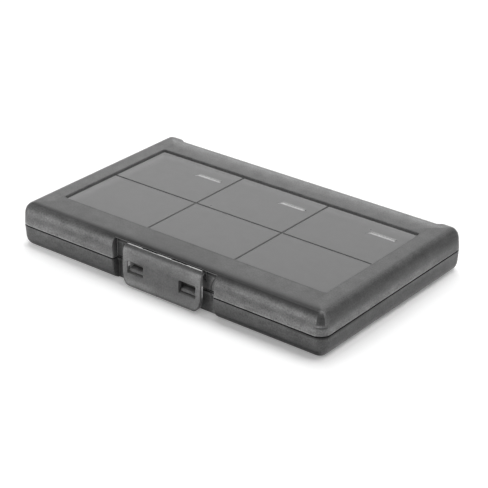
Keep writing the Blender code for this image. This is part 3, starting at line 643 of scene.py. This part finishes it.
class Graph:
    """A material's node tree, built a node at a time. Its dictionary named at
    holds the coordinates that regions are given in."""

    def __init__(self, name):
        self.material = bpy.data.materials.new(name)
        self.material.use_nodes = True
        self.tree = self.material.node_tree
        self.shader = self.tree.nodes["Principled BSDF"]
        spot = self.node("ShaderNodeTexCoord")
        self.place = spot.outputs["Object"]
        self.at = {}
        self.at["across"], self.at["along"], self.at["height"] = self.split(self.place)
        self.at["side"], self.at["rear"], self.at["up"] = self.split(spot.outputs["Normal"])
        self.at["off_centre"] = self.maths("ABSOLUTE", self.at["across"])
        self.at["sideways"] = self.maths("ABSOLUTE", self.at["side"])

    def node(self, kind, values=(), **settings):
        made = self.tree.nodes.new(kind)
        for key, value in settings.items():
            setattr(made, key, value)
        for socket, value in values:
            made.inputs[socket].default_value = value
        return made

    def link(self, source, target):
        self.tree.links.new(source, target)

    def feed(self, source, target):
        """Give a socket a number or another node's output."""
        if isinstance(source, (int, float)):
            target.default_value = source
        else:
            self.link(source, target)

    def split(self, vector):
        made = self.node("ShaderNodeSeparateXYZ")
        self.link(vector, made.inputs["Vector"])
        return made.outputs["X"], made.outputs["Y"], made.outputs["Z"]

    def noise(self, scale, detail, roughness, stretch=(1.0, 1.0, 1.0)):
        """Noise fixed to the piece, with features about 1/scale metres apart."""
        mapping = self.node("ShaderNodeMapping", [("Scale", stretch)])
        self.link(self.place, mapping.inputs["Vector"])
        made = self.node(
            "ShaderNodeTexNoise",
            [("Scale", scale), ("Detail", detail), ("Roughness", roughness)],
        )
        self.link(mapping.outputs["Vector"], made.inputs["Vector"])
        return made.outputs["Fac"]

    def maths(self, operation, *values):
        made = self.node("ShaderNodeMath", operation=operation)
        for value, socket in zip(values, made.inputs):
            self.feed(value, socket)
        return made.outputs["Value"]

    def length(self, first, second):
        """The length of the flat vector with these two parts."""
        square = self.maths("ADD", self.product(first, first), self.product(second, second))
        return self.maths("SQRT", square)

    def scaled(self, source, low, high):
        """Map a 0 to 1 value onto low to high."""
        made = self.node("ShaderNodeMapRange", [("To Min", low), ("To Max", high)])
        self.link(source, made.inputs["Value"])
        return made.outputs["Result"]

    def swung(self, source, swing):
        """Map a 0 to 1 value onto a swing to either side of 0."""
        return self.scaled(source, -swing, swing)

    def step(self, source, start, end):
        """A smooth step from 0 at start to 1 at end."""
        if start > end:
            return self.opposite(self.step(source, end, start))
        made = self.node(
            "ShaderNodeMapRange",
            [("From Min", start), ("From Max", end)],
            interpolation_type="SMOOTHSTEP",
        )
        self.link(source, made.inputs["Value"])
        return made.outputs["Result"]

    def ramp(self, source, stops):
        """A value read along straight runs between (place, value) stops."""
        low = stops[0][0]
        high = stops[-1][0]
        spread = self.node("ShaderNodeMapRange", [("From Min", low), ("From Max", high)])
        self.link(source, spread.inputs["Value"])
        made = self.node("ShaderNodeValToRGB")
        fill_ramp(made, [((place - low) / (high - low), value) for place, value in stops])
        self.link(spread.outputs["Result"], made.inputs["Fac"])
        return made.outputs["Color"]

    def product(self, *shares):
        """The product of shares: 1 only where every one of them is 1."""
        result = shares[0]
        for share in shares[1:]:
            result = self.maths("MULTIPLY", result, share)
        return result

    def opposite(self, share):
        """1 where a share is 0, and 0 where it is 1."""
        return self.maths("SUBTRACT", 1.0, share)

    def within(self, region, *shares):
        """The share by which a place lies in a region, times the given shares."""
        steps = [self.step(self.at[name], start, end) for name, start, end in region]
        return self.product(*shares, *steps)

    def blend(self, first, second, share):
        """first where share is 0, second where it is 1."""
        made = self.node("ShaderNodeMix", data_type="FLOAT")
        self.feed(share, made.inputs["Factor"])
        self.feed(first, made.inputs["A"])
        self.feed(second, made.inputs["B"])
        return made.outputs["Result"]

    def gain(self, tone, factor, share):
        """A tone that is multiplied by factor where share is 1."""
        return self.maths("MULTIPLY", tone, self.scaled(share, 1.0, factor))

    def edges(self, radius):
        """0 on open faces, towards 1 within radius of a sharp edge, and the
        normal that rounds those edges."""
        rounded = self.node("ShaderNodeBevel", [("Radius", radius)], samples=EDGE_SAMPLES)
        flat = self.node("ShaderNodeNewGeometry").outputs["Normal"]
        dot = self.node("ShaderNodeVectorMath", operation="DOT_PRODUCT")
        self.link(rounded.outputs["Normal"], dot.inputs[0])
        self.link(flat, dot.inputs[1])
        return self.step(dot.outputs["Value"], *EDGE_TURN), rounded.outputs["Normal"]

    def set_grey(self, value):
        """Use a value for all three channels of the shader's colour."""
        colour = self.node("ShaderNodeCombineColor")
        for channel in ("Red", "Green", "Blue"):
            self.link(value, colour.inputs[channel])
        self.link(colour.outputs["Color"], self.shader.inputs["Base Color"])

    def set_bump(self, pattern, strength, depth, normal=None):
        bump = self.node("ShaderNodeBump", [("Strength", strength), ("Distance", depth)])
        self.link(pattern, bump.inputs["Height"])
        if normal:
            self.link(normal, bump.inputs["Normal"])
        self.link(bump.outputs["Normal"], self.shader.inputs["Normal"])


def moulded_plastic(graph, tone, roughness, grain, speckle, painted_edge_tone, painted_edge_share=EDGE_HIGHLIGHT_SHARE):
    """Finish a graph as textured injection-moulded plastic: a fine eroded
    grain, cloudy mottling, small differences in gloss, and a tone painted
    along its edges, which the callers use as a painted highlight and, on the
    base's top edge, as painted shade."""
    cloud = graph.swung(graph.noise(*CLOUD_NOISE, stretch=CLOUD_STRETCH), CLOUD_SWING)
    fleck = graph.swung(graph.noise(*FLECK_NOISE), FLECK_SWING)
    uneven = graph.maths("MULTIPLY", graph.maths("ADD", cloud, fleck), speckle)
    value = graph.maths("MULTIPLY", tone, graph.maths("ADD", uneven, 1.0))
    edge, rounded = graph.edges(EDGE_RADIUS)
    graph.set_grey(graph.blend(value, painted_edge_tone, graph.product(edge, painted_edge_share)))
    gloss = graph.swung(graph.noise(*GLOSS_NOISE), GLOSS_SWING)
    graph.link(graph.maths("ADD", gloss, roughness), graph.shader.inputs["Roughness"])
    graph.shader.inputs["Specular IOR Level"].default_value = SPECULAR
    graph.set_bump(graph.noise(*GRAIN_NOISE), grain, GRAIN_DEPTH, rounded)
    return graph.material


def inside_corner(graph, over_x, over_y, radius):
    """How far a place lies inside an outline with round corners, from how far
    it lies past the ends of the straight sides."""
    out_x = graph.maths("MAXIMUM", over_x, 0.0)
    out_y = graph.maths("MAXIMUM", over_y, 0.0)
    beyond = graph.length(out_x, out_y)
    short = graph.maths("MINIMUM", graph.maths("MAXIMUM", over_x, over_y), 0.0)
    return graph.maths("SUBTRACT", radius, graph.maths("ADD", beyond, short))


def case_inset(graph):
    """How far a place lies inside the case's rounded outline, and the share by
    which it belongs to an end and not to the front or rear."""
    off_middle = graph.maths("ABSOLUTE", graph.at["along"])
    over_x = graph.maths("SUBTRACT", graph.at["off_centre"], HALF_LENGTH - CORNER_RADIUS)
    over_y = graph.maths("SUBTRACT", off_middle, HALF_DEPTH - CORNER_RADIUS)
    to_end = graph.maths("SUBTRACT", over_x, over_y)
    end_share = graph.step(to_end, -OUTLINE_MITRE, OUTLINE_MITRE)
    return inside_corner(graph, over_x, over_y, CORNER_RADIUS), end_share


def lid_plastic():
    """Smoke plastic that lets a little light through, with light and shade painted
    into its tone: a pale front wall, painted shade on the shoulder, and a sunk
    panel that is painted paler by its rear and left walls."""
    graph = Graph("lid_plastic")
    graph.at["inset"], end_share = case_inset(graph)
    tone = graph.blend(lid_walls(graph), lid_top(graph, end_share), graph.within(SHOULDER))
    tone = add_corners(graph, tone)
    tone, sunk, level = add_panel(graph, tone)
    tone, notched = add_notch(graph, tone)
    tone = graph.blend(tone, GAP_SHADE_TONE, graph.within(GAP_ABOVE))
    rough = graph.blend(LID_ROUGHNESS, PANEL_ROUGHNESS, sunk)
    speckle = graph.blend(WALL_SPECKLE, TOP_SPECKLE, level)
    speckle = graph.blend(speckle, PANEL_SPECKLE, sunk)
    return moulded_plastic(graph, tone, rough, LID_GRAIN, speckle, LID_EDGE_HIGHLIGHT, notched)


def lid_walls(graph):
    """The tone of the lid's walls, with their light and shade painted in: one by
    height for the front and rear, and one for the ends."""
    height = graph.at["height"]
    front = graph.gain(graph.ramp(height, LID_FRONT_TONES), NEAR_END_GAIN, graph.within(NEAR_END))
    end = graph.ramp(height, LID_END_TONES)
    end = graph.gain(end, NEAR_HINGE_GAIN, graph.within(NEAR_HINGE))
    return graph.blend(front, end, graph.within(FACING_END))


def lid_top(graph, end_share):
    """The painted light and shade of the lid's shoulder and flat rim, by the
    distance in from the outline at the front and ends, and by the place along Y
    at the rear."""
    inset = graph.at["inset"]
    left = graph.ramp(inset, TOP_LEFT_TONES)
    front = graph.blend(graph.ramp(inset, TOP_FRONT_TONES), left, graph.within(TOP_LEFT))
    front = graph.gain(front, TOP_BY_LATCH_GAIN, graph.within(TOP_BY_LATCH))
    rear = graph.ramp(graph.at["along"], TOP_REAR_TONES)
    front = graph.blend(front, rear, graph.within(TOP_REAR))
    end = graph.ramp(inset, TOP_END_TONES)
    end = graph.gain(end, TOP_LEFTWARD_GAIN, graph.within(TOP_LEFTWARD))
    return graph.blend(front, end, end_share)


def add_corners(graph, tone):
    """Paint shade on the lid's upright corners, but on the front right one paint
    thin darker and lighter lines, a dark spot of shade and a highlight instead."""
    side = graph.at["side"]
    rear = graph.at["rear"]
    outward = graph.length(side, rear)
    graph.at["diagonal"] = graph.maths("ABSOLUTE", graph.product(side, rear))
    graph.at["outward"] = outward
    graph.at["turn"] = graph.maths("DIVIDE", graph.at["sideways"], outward)
    front_right = graph.within(FRONT_RIGHT)
    soft = graph.product(graph.within(SOFT_CORNER), graph.opposite(front_right))
    tone = graph.blend(tone, SOFT_CORNER_SHADE, soft)
    steep = graph.within(STEEP_CORNER, front_right)
    lines = graph.ramp(graph.at["height"], CORNER_SHARES)
    lines = graph.blend(1.0, lines, graph.within(LINED_CORNER, steep))
    tone = graph.maths("MULTIPLY", tone, lines)
    tone = graph.blend(tone, CORNER_SHADE_TONE, graph.within(DARK_CORNER, steep))
    return graph.blend(tone, CORNER_GLEAM_TONE, graph.within(CORNER_GLEAM, steep))


def add_panel(graph, tone):
    """Paint the light and shade of the sunk panel: paler by its rear and left
    walls, on its walls and in its grooves, and bright painted highlights on the
    three finger marks. Also gives the shares by which a place is sunk and level."""
    from_rear = graph.maths("SUBTRACT", PANEL_REAR, graph.at["along"])
    from_left = graph.maths("SUBTRACT", graph.at["across"], PANEL_LEFT)
    graph.at["tile"] = graph.maths("FRACT", graph.maths("DIVIDE", from_left, TILE_LENGTH))
    inboard = graph.within(INBOARD)
    sunk = graph.within(SUNK, inboard)
    level = graph.within(LEVEL)
    upright = graph.opposite(level)
    panel = graph.ramp(graph.maths("MINIMUM", from_rear, from_left), PANEL_TONES)
    tone = graph.blend(tone, panel, graph.product(sunk, level))
    tone = graph.blend(tone, RECESS_WALL_TONE, graph.within(RECESS_WALL, upright, inboard))
    below_panel = graph.within(GROOVES, inboard)
    tone = graph.blend(tone, GROOVE_TONE, below_panel)
    border = graph.product(graph.within(BAR_BORDER), sunk, level)
    tone = graph.blend(tone, BAR_BORDER_HIGHLIGHT, border)
    bar = graph.product(graph.within(BAR_LENGTH), graph.within(BAR_DEPTH), below_panel)
    tone = graph.blend(tone, graph.blend(BAR_SLOPE_HIGHLIGHT, BAR_WALL_HIGHLIGHT, upright), bar)
    return tone, sunk, level


def add_notch(graph, tone):
    """Paint the light and shade on the sides and back of the latch's notch. Also
    gives the share by which a place belongs to the notch and its mouth."""
    near = graph.within(NOTCH_MOUTH)
    inside = graph.product(graph.within(NOTCH_INSIDE), near)
    walls = graph.ramp(graph.at["along"], NOTCH_SIDE_TONES)
    notch = graph.blend(notch_back(graph), walls, graph.within(NOTCH_SIDES))
    return graph.blend(tone, notch, inside), near


def notch_back(graph):
    """The tone of the notch's back: painted shade behind the latch and along the
    parting line, and painted light on the hooks and in the pockets."""
    across = graph.at["across"]
    height = graph.at["height"]
    above = graph.within(ABOVE_PARTING)
    below = graph.opposite(above)
    back = graph.ramp(across, NOTCH_BACK_TONES)
    back = graph.gain(back, NOTCH_RIGHT_GAIN, graph.product(graph.within(NOTCH_RIGHT), below))
    from_line = graph.maths("SUBTRACT", across, graph.ramp(height, MOUTH_LINE))
    lines = graph.blend(1.0, graph.ramp(from_line, MOUTH_SHARES), graph.within(MOUTH_LINED))
    back = graph.maths("MULTIPLY", back, lines)
    behind_latch = graph.product(graph.within(BEHIND_LATCH), above)
    back = graph.blend(back, BEHIND_LATCH_SHADE, behind_latch)
    hooks = graph.product(graph.within(HOOKS), below)
    back = graph.blend(back, graph.ramp(graph.at["along"], HOOK_TONES), hooks)
    from_parting = graph.maths("SUBTRACT", height, PARTING)
    graph.at["off_parting"] = graph.maths("ABSOLUTE", from_parting)
    back = graph.blend(back, GAP_SHADE_TONE, graph.within(PARTING_LINE))
    return graph.blend(back, POCKET_LIGHT, graph.product(graph.within(POCKETS), above))


def latch_plastic():
    """The same smoke plastic, with painted shade in the middle of the plate, a
    thin painted highlight along its tip, and painted glints on its edges."""
    graph = Graph("latch_plastic")
    height = graph.at["height"]
    over_side = graph.maths("SUBTRACT", graph.at["off_centre"], LATCH_HALF - LATCH_FOOT_RADIUS)
    over_foot = graph.maths("SUBTRACT", LATCH_FOOT + LATCH_FOOT_RADIUS, height)
    graph.at["inset"] = inside_corner(graph, over_side, over_foot, LATCH_FOOT_RADIUS)
    border = graph.ramp(height, LATCH_BORDER_TONES)
    tone = graph.blend(graph.ramp(height, LATCH_TONES), border, graph.within(LATCH_BORDER))
    tone = graph.gain(tone, LATCH_LEFT_FOOT_GAIN, graph.within(LATCH_LEFT_FOOT))
    tone = graph.blend(tone, LATCH_TIP_HIGHLIGHT, graph.within(LATCH_TIP))
    tone = graph.blend(tone, LATCH_SILL_LIGHT, graph.within(LATCH_SILL))
    glints = graph.maths("MAXIMUM", graph.within(RIGHT_EDGE), graph.within(WINDOW_EDGE))
    tone = graph.blend(tone, GLINT_TONE, graph.product(graph.within(FACING_RIGHT), glints))
    tone = graph.blend(tone, LATCH_OUTLINE_TONE, graph.within(LATCH_OUTLINE))
    painted_edge_share = graph.product(
        graph.scaled(graph.within(BELOW_TIP), 0.0, LATCH_EDGE_HIGHLIGHT_SHARE),
        graph.within(ABOVE_FOOT),
        graph.opposite(graph.within(BY_WINDOW)),
    )
    return moulded_plastic(
        graph, tone, LATCH_ROUGHNESS, LATCH_GRAIN, LATCH_SPECKLE, LATCH_EDGE_HIGHLIGHT, painted_edge_share
    )


def base_plastic():
    """Solid dark plastic with painted light and shade. Towards the lower edge its
    front is painted darker and its ends paler, and painted shade under the lid's
    lip darkens its top."""
    graph = Graph("base_plastic")
    height = graph.at["height"]
    at_end = graph.within(FACING_END)
    front = graph.ramp(height, BASE_FRONT_TONES)
    front = graph.gain(front, BASE_LEFT_GAIN, graph.within(BASE_LEFT))
    front = graph.gain(front, BASE_LOW_RIGHT_GAIN, graph.within(BASE_LOW_RIGHT))
    tone = graph.blend(front, graph.ramp(height, BASE_END_TONES), at_end)
    front_shade = graph.scaled(graph.within(FRONT_SHADE_RIGHT), 0.0, FRONT_SHADE_SHARE)
    front_shade = graph.within(FRONT_SHADE_TOP, front_shade)
    lip_shade = graph.blend(front_shade, graph.within(END_SHADE), at_end)
    tone = graph.blend(tone, GAP_SHADE_TONE, lip_shade)
    tone, notched = add_notch(graph, tone)
    tone = graph.blend(tone, GAP_SHADE_TONE, graph.within(GAP_BELOW))
    painted_edge_tone = graph.blend(BASE_EDGE_HIGHLIGHT, NOTCH_EDGE_HIGHLIGHT, notched)
    painted_edge_tone = graph.blend(painted_edge_tone, GAP_SHADE_TONE, graph.within(BASE_TOP_EDGE))
    return moulded_plastic(
        graph, tone, BASE_ROUGHNESS, BASE_GRAIN, BASE_SPECKLE, painted_edge_tone, BASE_PAINTED_EDGE_SHARE
    )


def tray_plastic():
    """Matt dark plastic of one tone, with painted highlights along its edges."""
    graph = Graph("tray_plastic")
    return moulded_plastic(
        graph, TRAY_TONE, TRAY_ROUGHNESS, TRAY_GRAIN, TRAY_SPECKLE, TRAY_EDGE_HIGHLIGHT
    )


def drawn_steel():
    """Steel wire with fine lines along its length."""
    graph = Graph("pin_steel")
    lines = graph.noise(*WIRE_NOISE, stretch=WIRE_STRETCH)
    graph.set_grey(graph.scaled(lines, *WIRE_TONES))
    graph.shader.inputs["Metallic"].default_value = 1.0
    graph.link(graph.scaled(lines, *WIRE_ROUGHNESS), graph.shader.inputs["Roughness"])
    graph.set_bump(lines, WIRE_GRAIN, WIRE_DEPTH)
    return graph.material


def dress(names, material):
    """Give the named pieces a material, and smooth them but for sharp edges."""
    for name in names:
        item = frame["nodes"][name]
        item.data.materials.clear()
        item.data.materials.append(material)
        item.data.shade_smooth()
        item.data.set_sharp_from_angle(angle=SHARP_ANGLE)


def dress_case():
    dress(["base_shell"], base_plastic())
    dress(["lid_shell"], lid_plastic())
    dress(["latch"], latch_plastic())
    dress(["base_tray", "lid_tray"], tray_plastic())
    dress(["hinge_pin_left", "hinge_pin_right", "latch_pin"], drawn_steel())


add_camera()
add_studio()
dress_case()
